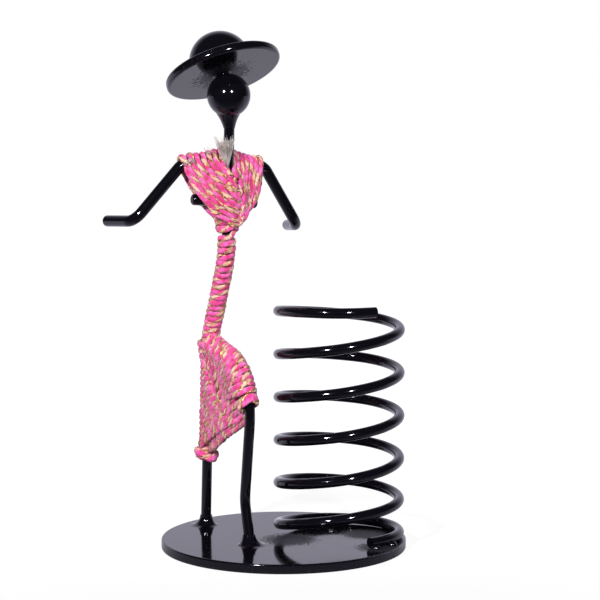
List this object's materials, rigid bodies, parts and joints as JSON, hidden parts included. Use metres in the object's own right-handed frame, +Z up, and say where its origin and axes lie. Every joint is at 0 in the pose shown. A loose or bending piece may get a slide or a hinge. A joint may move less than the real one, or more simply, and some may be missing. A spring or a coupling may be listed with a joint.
{
  "type": "pen stand",
  "caption": "Desk pen stand: a round black plate with an open wire coil that holds pens, and a walking figure of bent rod in a wide hat and a dress wound from pink rope.",
  "frame": {"origin": "centre of the plate's underside", "axes": "+Z up from the plate, +X from the plate's centre towards the coil's axis, +Y to the back"},
  "size_m": [0.0987, 0.08, 0.1677],
  "materials": {
    "black_enamel": "gloss",
    "rope": "matt, twisted pink and cream plies with a gold thread",
    "frayed_fibre": "matt, loose fibres"
  },
  "bodies": {
    "root": {"base_plate": "black_enamel", "pen_coil": "black_enamel", "coil_welds": "black_enamel", "spine_rod": "black_enamel", "rear_leg_rod": "black_enamel", "hip_weld": "black_enamel", "front_foot_weld": "black_enamel", "rear_foot_weld": "black_enamel", "arm_rod": "black_enamel", "shoulder_weld": "black_enamel", "chest_bar": "black_enamel", "chest_weld": "black_enamel", "head_ball": "black_enamel", "neck_weld": "black_enamel", "hat_brim": "black_enamel", "hat_crown": "black_enamel", "hat_weld": "black_enamel", "torso_wrap": "rope", "waist_wrap": "rope", "skirt_wrap": "rope", "front_hem_tie": "rope", "rear_hem_tie": "rope", "neck_tuft": "frayed_fibre"}
  },
  "joints": []
}
